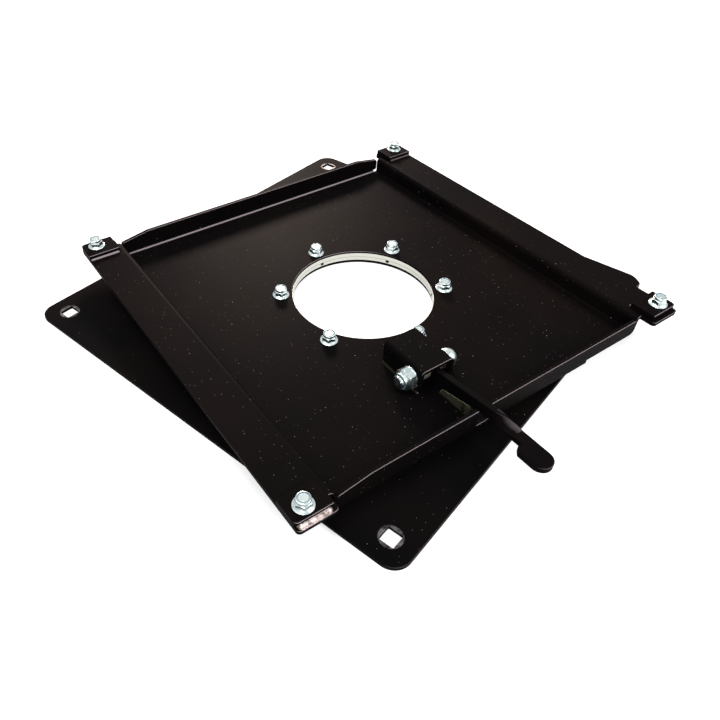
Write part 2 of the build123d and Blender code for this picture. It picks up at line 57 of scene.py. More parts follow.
# How finely round shapes are divided, and the angles past which an edge is sharp and is rounded
NUT_COLUMNS = 72
ROUND_COLUMNS = 48
WELD_COLUMNS = 20
SHARP_ANGLE = math.radians(28)
BEVEL_ANGLE = math.radians(32)


def linear(colour):
    """An sRGB hex colour as linear red, green, blue and alpha."""
    parts = [int(colour[i:i + 2], 16) / 255 for i in (1, 3, 5)]
    return [c / 12.92 if c <= 0.04045 else ((c + 0.055) / 1.055) ** 2.4 for c in parts] + [1.0]


def colour_property(name, text, colour):
    """A colour with its sRGB hex default."""
    return bpy.props.FloatVectorProperty(
        name=name, description=text, subtype="COLOR", size=4, min=0, max=1, default=linear(colour)
    )


def number_property(name, text, value):
    """A number without a unit, such as a share, a roughness or a strength."""
    return bpy.props.FloatProperty(name=name, description=text, default=value)


def length_property(name, text, millimetres):
    """A length in metres with its default given in millimetres."""
    return bpy.props.FloatProperty(
        name=name, description=text, subtype="DISTANCE", unit="LENGTH", default=millimetres * MM
    )


class CoatSettings(bpy.types.PropertyGroup):
    """Black powder coat on the folded and flat sheet."""

    pan: colour_property("Pan", "Coat on the pan, pads and bracket", "#0b090a")
    base: colour_property("Base", "Coat on the base plate", "#0b0a0b")
    warm: colour_property("Warm cast", "Browner cast that the coat shows in patches", "#15100e")
    # painted highlight: the pale colour of edges and bends that face forward and up
    edge_sheen: colour_property("Wear", "Rubbed coat on edges that face forward and up", "#a1959a")
    dust: colour_property("Dust", "Pale specks of dust", "#a8a39d")
    grit: colour_property("Grit", "Fine grey grit in the coat", "#6e675f")
    # painted sheen: a pale grey-pink in place of the highlights on the coated welds
    weld: colour_property("Weld", "Coat over the welds, worn to a pale sheen", "#8d8284")
    # painted highlight: pinkish silver for the highlights on the front left pad's weld
    silver_highlight: colour_property("Silver weld", "Front left pad's weld, rubbed to a pinkish silver", "#d9c6c2")
    # darker patches between the front left weld's painted highlights, and mottle in the bare recesses
    dark_mottle: colour_property("Soot", "Dark patches of the front left weld and the bare recesses", "#262122")
    fillet: colour_property("Fillet", "Coat over the fillet at the bracket's feet", "#26261f")
    recess: colour_property("Recess", "Bare steel in the recesses of the square holes", "#646362")
    roughness: number_property("Roughness", "Satin of the coat", 0.46)
    gloss: number_property("Gloss", "Strength of the coat's reflection", 0.02)
    refraction: number_property("Refraction", "Refractive index, low so that flat views stay dark", 1.3)
    cloud: length_property("Cloud", "Width of the coat's browner patches", 90.0)
    grain: length_property("Grain", "Width of the coat's orange peel", 0.9)
    peel: length_property("Peel", "Height of the coat's orange peel", 0.06)
    dust_cell: length_property("Dust cell", "Width of the patch that holds one speck at most", 5.0)
    dust_share: number_property("Dust share", "Share of the patches that hold a speck", 0.18)
    dust_radius: length_property("Dust radius", "Radius of a speck, large enough to show", 0.38)
    grit_cell: length_property("Grit cell", "Width of the patch that holds one grain at most", 2.6)
    grit_share: number_property("Grit share", "Share of the patches that hold a grain", 0.35)
    grit_radius: length_property("Grit radius", "Radius of a grain, large enough to show", 0.37)
    # how far the painted highlight reaches from an edge or bend
    sheen_reach: length_property("Rub", "How far the rubbing reaches from an edge", 0.9)
    edge: length_property("Edge radius", "Rounding of the pan's and the bracket's edges", 0.6)
    base_edge: length_property("Base edge radius", "Rounding of the base plate's edges", 0.42)
    pad_edge: length_property("Pad edge radius", "Rounding of the pads' edges", 0.72)
    lever_edge: length_property("Lever edge radius", "Rounding of the lever's edges", 0.96)


class MetalSettings(bpy.types.PropertyGroup):
    """Zinc, steel and nylon of the fasteners and the race."""

    zinc: colour_property("Zinc", "Bright zinc on nuts and bolts", "#d3dbd9")
    tint: colour_property("Tint", "Blue-green cast of the passivated zinc", "#a9bfc0")
    race: colour_property("Race", "Turned wall of the race", "#c4c4bc")
    yellow: colour_property("Yellow zinc", "Golden zinc of the right spacer", "#d8b98a")
    # painted light: a paler, lit copy of the yellow zinc, for the left spacer
    ivory_lit: colour_property("Ivory zinc", "Pale zinc of the left spacer", "#e9e1cd")
    olive: colour_property("Olive zinc", "Dull zinc of the lock plate", "#85856f")
    olive_dark: colour_property("Dark olive zinc", "Cloudier patches of the lock plate", "#6f6f5c")
    nylon: colour_property("Nylon", "Ring inside a lock nut", "#7c98a6")
    cage: colour_property("Cage", "Nylon of the ball cage", "#cfc8b4")
    ball: colour_property("Ball", "Polished balls", "#c9cbce")
    # painted shade past the race's wall, seen through the notches, and the dark seam between the halves
    shade_and_seam: colour_property("Grease", "Old grease behind the race's wall", "#0d0c0b")
    mottle: length_property("Mottle", "Width of the zinc's cloudy patches", 3.5)
    crystal: length_property("Crystal", "Width of the zinc's fine grain", 0.35)
    tool_mark: length_property("Tool mark", "Spacing of the lathe's marks, coarse enough to show", 1.5)
    flow: length_property("Flow", "Width of the nylon's flow pattern", 1.2)
    turned_edge: length_property("Turned edge radius", "Rounding of the race's edges", 0.15)
    bolt_edge: length_property("Bolt edge radius", "Rounding of the pivot's bolt, washer and spacers", 0.3)


class FastenerSettings(bpy.types.PropertyGroup):
    """Sizes of the lock nuts that the frame's boxes don't give."""

    small_flats: length_property("Small nut flats", "Across the flats of a small nut", 10.0)
    pivot_flats: length_property("Pivot nut flats", "Across the flats of the pivot nut", 16.0)
    small_collar: length_property("Small collar radius", "Radius of a small nut's collar", 4.9)
    pivot_collar: length_property("Pivot collar radius", "Radius of the pivot nut's collar", 6.7)
    collar_wall: length_property("Collar wall", "Wall of a collar at its mouth", 0.8)
    small_bolt: length_property("Small bolt radius", "Radius of a race screw or seat bolt", 3.0)
    pivot_bolt: length_property("Pivot bolt radius", "Radius of the pivot bolt", 5.0)
    small_pitch: length_property("Small pitch", "Thread pitch of the small screws", 1.0)
    pivot_pitch: length_property("Pivot pitch", "Thread pitch of the pivot bolt", 1.5)
    end_proud: length_property("Thread end", "How far a threaded end stands over the plain shank", 0.12)
    race_circle: length_property("Race screw circle", "Radius of the circle of race screws", 70.0)
    race_wall: length_property("Race wall", "Radius of the inner race's wall", 60.0)
    race_count: bpy.props.IntProperty(name="Race screws", description="Screws round the race", default=6)
    race_seed: bpy.props.IntProperty(
        name="Race seed", description="Seed of the race nuts' turns", default=5
    )
    seat_seed: bpy.props.IntProperty(
        name="Seat seed", description="Seed of the seat nuts' turns", default=9
    )
    pivot_turn: bpy.props.FloatProperty(
        name="Pivot nut turn", description="Turn of the pivot nut's flats", subtype="ANGLE",
        default=math.radians(-15),
    )
    small_hexagon: number_property("Small hexagon", "Share of a small nut's height in its hexagon", 0.69)
    pivot_hexagon: number_property("Pivot hexagon", "Share of the pivot nut's height in its hexagon", 0.8)


class WeldSettings(bpy.types.PropertyGroup):
    """Weld beads on the pads and the bracket."""

    wide: length_property("Wide weld", "Width of the weld along the front left pad", 6.4)
    narrow: length_property("Narrow weld", "Width of the other welds", 3.0)
    step: number_property("Step", "From one ripple to the next, as a share of the width", 0.14)
    seed: bpy.props.IntProperty(name="Seed", description="Seed of the ripples' turns", default=11)


class StudioSettings(bpy.types.PropertyGroup):
    """Camera, lamps and floor."""

    camera_place: bpy.props.FloatVectorProperty(
        name="Camera place", description="Where the camera stands", subtype="TRANSLATION",
        default=(-0.2947, -0.3450, 0.3550),
    )
    camera_turn: bpy.props.FloatVectorProperty(
        name="Camera turn", description="The camera's turn about X, Y and Z", subtype="EULER",
        default=tuple(math.radians(a) for a in (46.796, -0.088, -33.970)),
    )
    lens: number_property("Lens", "Focal length in mm, on a 36 mm wide picture", 32.995)
    shift: number_property("Shift", "Sideways shift of the view, as a share of its width", 0.0791)
    floor: colour_property("Floor", "Pale floor", "#e6e6e6")
    white: colour_property("White light", "Light of the room, the floor and most lamps", "#ffffff")
    warm: colour_property("Warm light", "Light of the lamp behind the object", "#ffe9dc")
    room_light: number_property("Room light", "Strength of the room's light on the object", 0.26)
    room_seen: number_property("Room seen", "Strength of the room where it is seen, 1 is white", 1.0)
    floor_seen: number_property("Floor seen", "Glow of the floor where it is seen, up to white", 0.5)
    floor_half: bpy.props.FloatProperty(
        name="Floor half", description="Half of the floor's width", unit="LENGTH", default=9.0
    )


def add_node(tree, kind, settings=None, inputs=None):
    """Adds a node, sets what it is given and links the inputs that are sockets."""
    made = tree.nodes.new(kind)
    for name, value in (settings or {}).items():
        setattr(made, name, value)
    for name, value in (inputs or {}).items():
        if isinstance(value, bpy.types.NodeSocket):
            tree.links.new(value, made.inputs[name])
        else:
            made.inputs[name].default_value = value
    return made


def new_material(name):
    """An empty material, its node tree and its Object coordinates."""
    material = bpy.data.materials.new(name)
    material.use_nodes = True
    tree = material.node_tree
    tree.nodes.clear()
    place = add_node(tree, "ShaderNodeTexCoord").outputs["Object"]
    return material, tree, place


def close_material(tree, inputs):
    """Ends a material's nodes with its shader and its output."""
    shader = add_node(tree, "ShaderNodeBsdfPrincipled", inputs=inputs)
    add_node(tree, "ShaderNodeOutputMaterial", inputs={"Surface": shader.outputs["BSDF"]})


def calculate(tree, operation, *values):
    """One step of arithmetic on sockets and numbers."""
    step = add_node(tree, "ShaderNodeMath", {"operation": operation}, dict(enumerate(values)))
    return step.outputs["Value"]


def mapped(tree, value, to_low, to_high, from_low=0.0, from_high=1.0):
    """A value moved from one range to another."""
    limits = {"From Min": from_low, "From Max": from_high, "To Min": to_low, "To Max": to_high}
    return add_node(tree, "ShaderNodeMapRange", inputs={"Value": value, **limits}).outputs["Result"]


def mixed(tree, share, first, second):
    """A colour between two, the first at a share of 0 and the second at 1."""
    blend = add_node(
        tree, "ShaderNodeMix", {"data_type": "RGBA"}, {"Factor": share, "A": first, "B": second}
    )
    return blend.outputs["Result"]


def noise(tree, place, width, detail):
    """Noise in patches of that width, with finer ones in them the higher its detail."""
    field = add_node(
        tree, "ShaderNodeTexNoise", inputs={"Vector": place, "Scale": 1 / width, "Detail": detail}
    )
    return field.outputs["Fac"]


def relief(tree, height, strength, depth):
    """Normals that show a height as a fine relief."""
    bump = add_node(
        tree, "ShaderNodeBump", inputs={"Height": height, "Strength": strength, "Distance": depth}
    )
    return bump.outputs["Normal"]


def specks(tree, place, tone, cell, share, radius, colour):
    """Mixes specks into a colour: a share of the cells hold one, of that radius with a soft rim."""
    reach = radius / cell
    core = 0.6
    cells = add_node(tree, "ShaderNodeTexVoronoi", inputs={"Vector": place, "Scale": 1 / cell})
    chance = add_node(tree, "ShaderNodeSeparateColor", inputs={"Color": cells.outputs["Color"]})
    chosen = calculate(tree, "LESS_THAN", chance.outputs["Red"], share)
    near = mapped(tree, cells.outputs["Distance"], 1.0, 0.0, reach * core, reach)
    bright = calculate(tree, "MULTIPLY", near, chance.outputs["Green"])
    return mixed(tree, calculate(tree, "MULTIPLY", bright, chosen), tone, colour)


def powder_coat(name, colour, roughness, coat, dusty, edge_sheen):
    """Polyester powder coat, sprayed and baked: satin black with fine orange peel and specks of dust.

    dusty is the share of the specks that it keeps, and edge_sheen how pale the painted highlight is on its
    edges and bends that face forward and up.
    """
    patch_start, patch_full, patch_most = 0.4, 0.75, 0.7
    sheen_start, sheen_full = -0.15, -0.4
    smoother, rougher = 0.05, 0.07
    peel_strength = 0.25
    material, tree, place = new_material(name)
    # broad patches lean brown, which gives the floor its warm cast
    cloud = noise(tree, place, coat.cloud, 3.0)
    patch = mapped(tree, cloud, 0.0, patch_most, patch_start, patch_full)
    tone = mixed(tree, patch, colour, coat.warm)
    if dusty > 0:
        # dust and grit, drawn about 0.75 mm across so that they show
        for cell, share, radius, speck_colour in (
            (coat.dust_cell, coat.dust_share, coat.dust_radius, coat.dust),
            (coat.grit_cell, coat.grit_share, coat.grit_radius, coat.grit),
        ):
            tone = specks(tree, place, tone, cell, share * dusty, radius, speck_colour)
    # painted highlight: edges and bends that face forward and up, where the lamps catch them, are painted
    # paler, in the piece's own axes
    corner = add_node(tree, "ShaderNodeBevel", {"samples": 6}, {"Radius": coat.sheen_reach})
    own = add_node(
        tree, "ShaderNodeVectorTransform",
        {"vector_type": "NORMAL", "convert_from": "WORLD", "convert_to": "OBJECT"},
        {"Vector": corner.outputs["Normal"]},
    )
    axes = add_node(tree, "ShaderNodeSeparateXYZ", inputs={"Vector": own.outputs["Vector"]})
    slope = calculate(tree, "MULTIPLY", axes.outputs["Y"], axes.outputs["Z"])
    highlight_painted = mapped(tree, slope, 0.0, edge_sheen, sheen_start, sheen_full)
    peel = noise(tree, place, coat.grain, 2.0)
    close_material(tree, {
        "Base Color": mixed(tree, highlight_painted, tone, coat.edge_sheen),
        "Roughness": mapped(tree, cloud, roughness - smoother, roughness + rougher),
        "Specular IOR Level": coat.gloss,
        "IOR": coat.refraction,
        "Normal": relief(tree, peel, peel_strength, coat.peel),
    })
    return material


def bright_metal(name, colour, tint, roughness, metal):
    """Bright metal, mostly steel with passivated zinc: faintly mottled, with a cast of its tint."""
    cast_start, cast_full = 0.35, 0.7
    smoother, rougher = 0.06, 0.1
    grain_strength, grain_height = 0.05, 0.02 * MM
    material, tree, place = new_material(name)
    mottle = noise(tree, place, metal.mottle, 3.0)
    cast = mapped(tree, mottle, 0.0, 1.0, cast_start, cast_full)
    grain = noise(tree, place, metal.crystal, 2.0)
    close_material(tree, {
        "Base Color": mixed(tree, cast, colour, tint),
        "Metallic": 1.0,
        "Roughness": mapped(tree, mottle, roughness - smoother, roughness + rougher),
        "Normal": relief(tree, grain, grain_strength, grain_height),
    })
    return material


def turned_steel(name, wall, seam, metal):
    """Steel turned on a lathe: fine rings round the swivel axis, pale, with painted shade past the wall,
    seen through its notches.

    wall is the radius of the wall, past which the steel is painted dark as shade, and seam the height of
    the line between the halves.
    """
    shade_start, shade_full = 0.05 * MM, 0.2 * MM
    seam_core, seam_rim, seam_dark = 0.15 * MM, 0.3 * MM, 0.6
    along, upright = 0.08, 5.0
    smoothest, roughest = 0.28, 0.46
    mark_strength, mark_height = 0.15, 0.03 * MM
    material, tree, place = new_material(name)
    axes = add_node(tree, "ShaderNodeSeparateXYZ", inputs={"Vector": place})
    flat = add_node(
        tree, "ShaderNodeCombineXYZ", inputs={"X": axes.outputs["X"], "Y": axes.outputs["Y"]}
    )
    reach = add_node(
        tree, "ShaderNodeVectorMath", {"operation": "LENGTH"}, {0: flat.outputs["Vector"]}
    )
    # painted shade: past the wall, where only the notches show it, the steel is painted dark
    behind = mapped(tree, reach.outputs["Value"], 0.0, 1.0, wall + shade_start, wall + shade_full)
    # the seam between the two halves is drawn about 0.5 mm high so that it shows
    gap = calculate(tree, "ABSOLUTE", calculate(tree, "SUBTRACT", axes.outputs["Z"], seam))
    line = mapped(tree, gap, seam_dark, 0.0, seam_core, seam_rim)
    shade_and_seam_mask = calculate(tree, "MAXIMUM", behind, line)
    # the lathe's marks are noise drawn out along the wall and squeezed in its height
    stretched = add_node(
        tree, "ShaderNodeMapping", inputs={"Vector": place, "Scale": (along, along, upright)}
    )
    marks = noise(tree, stretched.outputs["Vector"], metal.tool_mark, 3.0)
    close_material(tree, {
        "Base Color": mixed(tree, shade_and_seam_mask, metal.race, metal.shade_and_seam),
        "Metallic": 1.0,
        "Roughness": mapped(tree, marks, smoothest, roughest),
        "Normal": relief(tree, marks, mark_strength, mark_height),
    })
    return material


def moulded_nylon(name, colour, metal):
    """Moulded nylon: even, slightly waxy, with a faint flow pattern in its polish."""
    smoothest, roughest = 0.32, 0.48
    material, tree, place = new_material(name)
    flow = noise(tree, place, metal.flow, 2.0)
    close_material(tree, {"Base Color": colour, "Roughness": mapped(tree, flow, smoothest, roughest)})
    return material


def new_piece(name, mesh, material):
    """An object at the origin with one material, linked to the scene."""
    piece = bpy.data.objects.new(name, mesh)
    bpy.context.scene.collection.objects.link(piece)
    mesh.materials.clear()
    mesh.materials.append(material)
    return piece


def hand_over(piece, body, nodes):
    """Puts a piece on the body that it rides on and hides the frame nodes that it stands for."""
    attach(piece, body)
    if nodes:
        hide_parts(*nodes)


def round_edges(piece, radius):
    """Rounds the sharp edges, with normals that leave the flats flat."""
    bevel = piece.modifiers.new("Rounded edges", "BEVEL")
    bevel.width = radius
    bevel.segments = 3
    bevel.limit_method = "ANGLE"
    bevel.angle_limit = BEVEL_ANGLE
    bevel.miter_outer = "MITER_ARC"
    weighted = piece.modifiers.new("Flat normals", "WEIGHTED_NORMAL")
    weighted.mode = "FACE_AREA"
    weighted.weight = 100


def clean_copy(node):
    """A merged copy of a frame node's mesh, with its flat stretches joined into whole faces."""
    merge_distance = 0.002 * MM
    flat_angle = math.radians(0.6)
    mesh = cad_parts[node].data.copy()
    if "custom_normal" in mesh.attributes:
        mesh.attributes.remove(mesh.attributes["custom_normal"])
    shape = bmesh.new()
    shape.from_mesh(mesh)
    bmesh.ops.remove_doubles(shape, verts=shape.verts, dist=merge_distance)
    bmesh.ops.dissolve_limit(shape, angle_limit=flat_angle, verts=shape.verts, edges=shape.edges)
    for face in shape.faces:
        face.smooth = True
    shape.to_mesh(mesh)
    shape.free()
    return mesh


def coated_copy(node, body, material, radius):
    """A frame node's shape with rounded edges and its finish."""
    piece = new_piece(node + "_finished", clean_copy(node), material)
    round_edges(piece, radius)
    hand_over(piece, body, [node])
    return piece


def grid_faces(shape, rows):
    """Faces between closed rings of vertices, each ring as long as the first."""
    for lower, upper in zip(rows, rows[1:]):
        count = len(lower)
        for i in range(count):
            j = (i + 1) % count
            shape.faces.new((lower[i], lower[j], upper[j], upper[i]))


def polar_mesh(name, rings, columns, closed_ends=False):
    """A mesh of rings about Z; each ring is a height and a function from an angle to a radius.

    The last ring joins the first, as in a nut, or with closed_ends the first and last are capped.
    """
    shape = bmesh.new()
    rows = []
    for height, radius in rings:
        row = []
        for i in range(columns):
            angle = 2 * math.pi * i / columns
            reach = radius(angle)
            row.append(shape.verts.new((reach * math.cos(angle), reach * math.sin(angle), height)))
        rows.append(row)
    grid_faces(shape, rows if closed_ends else rows + rows[:1])
    if closed_ends:
        shape.faces.new(reversed(rows[0]))
        shape.faces.new(rows[-1])
    bmesh.ops.recalc_face_normals(shape, faces=shape.faces)
    for face in shape.faces:
        face.smooth = True
    mesh = bpy.data.meshes.new(name)
    shape.to_mesh(mesh)
    shape.free()
    mesh.set_sharp_from_angle(angle=SHARP_ANGLE)
    return mesh


def nut_mesh(name, flats, height, flange_radius, bolt_radius, collar, wall, hexagon_share):
    """A lock nut from its flange up: cone, chamfered hexagon, rolled collar and open mouth.

    collar is the collar's outer radius, wall its thickness, and hexagon_share the hexagon's part
    of the nut's height.
    """
    inner = flats / 2
    corner = inner / math.cos(math.pi / 6)
    hexagon = height * hexagon_share
    flange = height * 0.13
    mouth = collar - wall
    valley = collar * 0.95
    cone_foot = flange_radius * 0.96
    cone_start, cone_rise, cone_steps = flange * 0.95, flange * 1.3, 7
    chamfer_angle, chamfer_steps = math.radians(35), 6
    chamfer = (corner - valley) * math.tan(chamfer_angle)
    rise = height - hexagon
    collar_foot = hexagon + rise * 0.3
    roll, roll_steps = rise * 0.42, 6
    roll_in = wall * 0.8

    def hexagon_radius(angle, limit):
        side = (angle + math.pi / 6) % (math.pi / 3) - math.pi / 6
        return min(inner / math.cos(side), limit)

    def round_ring(height_now, radius):
        return height_now, lambda angle: radius

    def body_ring(height_now, skirt, limit):
        return height_now, lambda angle: max(skirt, hexagon_radius(angle, limit))

    # the flange and its rounded rim, as shares of its height and radius
    rings = [
        round_ring(0.0, bolt_radius),
        round_ring(0.0, flange_radius * 0.975),
        round_ring(flange * 0.15, flange_radius),
        round_ring(flange * 0.7, flange_radius),
        round_ring(flange * 0.9, flange_radius * 0.98),
    ]
    for step in range(cone_steps + 1):
        share = step / cone_steps
        skirt = cone_foot + (valley - cone_foot) * share
        rings.append(body_ring(cone_start + cone_rise * share, skirt, corner))
    for step in range(chamfer_steps + 1):
        share = step / chamfer_steps
        rings.append(body_ring(hexagon - chamfer * (1 - share), 0.0, corner - (corner - valley) * share))
    # the collar, rolled in over its mouth, and the mouth's wall down to the bolt
    rings.append(round_ring(hexagon + rise * 0.18, collar * 0.985))
    rings.append(round_ring(collar_foot, collar))
    for step in range(roll_steps + 1):
        turn = math.pi / 2 * step / roll_steps
        reach = collar - roll_in * (1 - math.cos(turn))
        rings.append(round_ring(height - roll + roll * math.sin(turn), reach))
    rings.append(round_ring(height - rise * 0.04, mouth + wall * 0.05))
    rings.append(round_ring(height - rise * 0.12, mouth))
    rings.append(round_ring(collar_foot, mouth))
    rings.append(round_ring(collar_foot, bolt_radius))
    return polar_mesh(name, rings, NUT_COLUMNS)


def ring_mesh(name, low, high, inner, outer):
    """A plain ring with slightly rolled edges."""
    roll = (high - low) * 0.2
    rings = [
        (low, lambda angle: inner),
        (low, lambda angle: outer - roll),
        (low + roll, lambda angle: outer),
        (high - roll, lambda angle: outer),
        (high, lambda angle: outer - roll),
        (high, lambda angle: inner + roll),
        (high - roll, lambda angle: inner),
    ]
    return polar_mesh(name, rings, ROUND_COLUMNS)


def thread_mesh(name, low, high, radius, pitch):
    """A threaded shank: a V thread wound up to a chamfered end."""
    depth = pitch * 0.55
    chamfer, chamfer_slope = pitch * 0.9, 0.8
    end_radius = (radius - depth) * 0.9
    rings_per_turn = 6
    steps = round((high - low) / pitch * rings_per_turn)

    def thread_radius(height_now):
        def at(angle):
            phase = (height_now / pitch - angle / (2 * math.pi)) % 1.0
            cut = depth * abs(2 * phase - 1)
            limit = radius - max(0.0, height_now - (high - chamfer)) * chamfer_slope
            return min(radius - cut, limit)
        return at

    rings = [(low, lambda angle: radius - depth)]
    rings += [
        (low + (high - low) * i / steps, thread_radius(low + (high - low) * i / steps))
        for i in range(1, steps + 1)
    ]
    rings.append((high, lambda angle: end_radius))
    return polar_mesh(name, rings, ROUND_COLUMNS, closed_ends=True)


def repeat_tree(name, points, turn_seed, most_turn):
    """Geometry nodes that put one shape on points, each turned by chance, and make it real with a finish.

    points is "circle", with its inputs Count and Radius, or "grid", with Spacing X and Spacing Y,
    or "row", with Count and Step.
    """
    tree = bpy.data.node_groups.new(name, "GeometryNodeTree")
    tree.interface.new_socket("Geometry", in_out="INPUT", socket_type="NodeSocketGeometry")
    tree.interface.new_socket("Geometry", in_out="OUTPUT", socket_type="NodeSocketGeometry")
    own_inputs = {
        "circle": (("Count", "Int"), ("Radius", "Float")),
        "grid": (("Spacing X", "Float"), ("Spacing Y", "Float")),
        "row": (("Count", "Int"), ("Step", "Vector")),
    }[points]
    for label, kind in (
        ("Shape", "Object"), ("Finish", "Material"), ("Place", "Vector"), ("Turn", "Float"), *own_inputs
    ):
        tree.interface.new_socket(label, in_out="INPUT", socket_type=f"NodeSocket{kind}")
    given = add_node(tree, "NodeGroupInput")
    if points == "circle":
        laid = add_node(
            tree, "GeometryNodeMeshCircle",
            inputs={"Vertices": given.outputs["Count"], "Radius": given.outputs["Radius"]},
        )
    elif points == "grid":
        laid = add_node(
            tree, "GeometryNodeMeshGrid",
            inputs={
                "Size X": given.outputs["Spacing X"], "Size Y": given.outputs["Spacing Y"],
                "Vertices X": 2, "Vertices Y": 2,
            },
        )
    else:
        laid = add_node(
            tree, "GeometryNodeMeshLine",
            inputs={"Count": given.outputs["Count"], "Offset": given.outputs["Step"]},
        )
    start = add_node(tree, "ShaderNodeCombineXYZ", inputs={"Z": given.outputs["Turn"]})
    moved = add_node(
        tree, "GeometryNodeTransform",
        inputs={
            "Geometry": laid.outputs["Mesh"],
            "Translation": given.outputs["Place"],
            "Rotation": start.outputs["Vector"],
        },
    )
    chance = add_node(
        tree, "FunctionNodeRandomValue", {"data_type": "FLOAT"}, {"Seed": turn_seed}
    )
    # the node's least and most as numbers, which share their names with its other kinds
    chance.inputs[2].default_value = 0.0
    chance.inputs[3].default_value = most_turn
    turned = add_node(tree, "ShaderNodeCombineXYZ", inputs={"Z": chance.outputs[1]})
    shape = add_node(tree, "GeometryNodeObjectInfo", inputs={"Object": given.outputs["Shape"]})
    placed = add_node(
        tree, "GeometryNodeInstanceOnPoints",
        inputs={
            "Points": moved.outputs["Geometry"],
            "Instance": shape.outputs["Geometry"],
            "Rotation": turned.outputs["Vector"],
        },
    )
    real = add_node(
        tree, "GeometryNodeRealizeInstances", inputs={"Geometry": placed.outputs["Instances"]}
    )
    dressed = add_node(
        tree, "GeometryNodeSetMaterial",
        inputs={"Geometry": real.outputs["Geometry"], "Material": given.outputs["Finish"]},
    )
    add_node(tree, "NodeGroupOutput", inputs={"Geometry": dressed.outputs["Geometry"]})
    return tree


def repeated_piece(name, tree, template, values, material):
    """Runs a repeat tree on a template mesh and returns the result as a plain piece."""
    shape = bpy.data.objects.new(name + "_shape", template)
    bpy.context.scene.collection.objects.link(shape)
    carrier = bpy.data.objects.new(name + "_carrier", bpy.data.meshes.new(name + "_carrier"))
    bpy.context.scene.collection.objects.link(carrier)
    modifier = carrier.modifiers.new("Repeat", "NODES")
    modifier.node_group = tree
    sockets = {s.name: s.identifier for s in tree.interface.items_tree if s.in_out == "INPUT"}
    for label, value in {**values, "Shape": shape, "Finish": material}.items():
        modifier[sockets[label]] = value
    bpy.context.view_layer.update()
    seen = carrier.evaluated_get(bpy.context.evaluated_depsgraph_get())
    mesh = bpy.data.meshes.new_from_object(seen)
    bpy.data.objects.remove(carrier)
    bpy.data.objects.remove(shape)
    return new_piece(name, mesh, material)


def finish(name):
    """A material made before, by its name."""
    return bpy.data.materials[name]


class SEATBASE_OT_finishes(bpy.types.Operator):
    """Makes the materials"""

    bl_idname = "seatbase.finishes"
    bl_label = "Finishes"

    def execute(self, context):
        coat = context.scene.seat_base_coat
        metal = context.scene.seat_base_metal
        satin = coat.roughness
        for name, colour, roughness, dusty, edge_sheen in (
            # the satin black of the pan, pads and bracket, dusty, with a strong painted highlight on its
            # edges
            ("black_powder_coat_pan", coat.pan, satin, 1.0, 0.9),
            # the base plate lies lower and is cleaner, a little flatter, with a fainter painted highlight
            # on its edges
            ("black_powder_coat_base", coat.base, satin + 0.03, 0.25, 0.2),
            # the lever is wiped clean by the hand that pulls it, and has a faint painted highlight on its
            # edges
            ("black_powder_coat_lever", coat.pan, satin - 0.05, 0.0, 0.25),
            # coat over a weld, painted greyer as a soft sheen, with a strong painted highlight on its edges
            ("coated_weld", coat.weld, satin - 0.12, 0.0, 0.9),
            # an olive black, a little paler than the coat, with a faint painted highlight on its edges
            ("coated_fillet", coat.fillet, satin, 0.0, 0.3),
        ):
            powder_coat(name, colour, roughness, coat, dusty, edge_sheen)
        for name, colour, tint, roughness in (
            # front left weld, painted as pinkish silver metal for the highlights on its coat, mottled with
            # darker patches
            ("silver_weld", coat.silver_highlight, coat.dark_mottle, 0.36),
            # pressed recess without coat: dull grey steel
            ("bare_recess_steel", coat.recess, coat.dark_mottle, 0.5),
            # blue passivated zinc of nuts and threads: bright and cool
            ("blue_zinc", metal.zinc, metal.tint, 0.25),
            # paler zinc of the screws' plain shanks
            ("pale_zinc", metal.race, metal.zinc, 0.3),
            # yellow passivated zinc, which shines golden beside the lever
            ("golden_zinc", metal.yellow, metal.race, 0.34),
            # yellow zinc painted paler, ivory, as a lit copy for the left spacer, where the front lamp
            # falls in the bracket
            ("ivory_zinc", metal.ivory_lit, metal.race, 0.5),
            # zinc dulled by grease, olive under the lever
            ("dull_zinc", metal.olive, metal.olive_dark, 0.46),
            # polished bearing steel, nearly a mirror
            ("ball_steel", metal.ball, metal.zinc, 0.12),
        ):
            bright_metal(name, colour, tint, roughness, metal)
        wall = context.scene.seat_base_fasteners.race_wall
        turned_steel("turned_race", wall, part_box("inner_race_lower")[1].z, metal)
        moulded_nylon("nylon_ring", metal.nylon, metal)
        moulded_nylon("nylon_cage", metal.cage, metal)
        return {"FINISHED"}


class SEATBASE_OT_plates(bpy.types.Operator):
    """Rounds and finishes the base plate, the pan, the pads and the bracket"""

    bl_idname = "seatbase.plates"
    bl_label = "Plates and pads"

    def execute(self, context):
        coat = context.scene.seat_base_coat
        plate = coated_copy(
            "base_plate", "base", finish("black_powder_coat_base"), coat.base_edge
        )
        self.bare_recesses(plate)
        pan = finish("black_powder_coat_pan")
        coated_copy("seat_pan", "upper", pan, coat.edge)
        for end in ("front", "back"):
            for side in ("left", "right"):
                coated_copy(f"pad_{end}_{side}", "upper", pan, coat.pad_edge)
        coated_copy("lever_bracket", "upper", pan, coat.edge)
        return {"FINISHED"}

    def bare_recesses(self, plate):
        """Gives the floors of the recesses round the square holes the look of bare steel."""
        plate.data.materials.append(finish("bare_recess_steel"))
        # such a floor lies lower than the plate's top and faces up
        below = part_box("base_plate")[1].z - 0.1 * MM
        faces_up = 0.9
        for face in plate.data.polygons:
            if face.center.z < below and face.normal.z > faces_up:
                face.material_index = 1


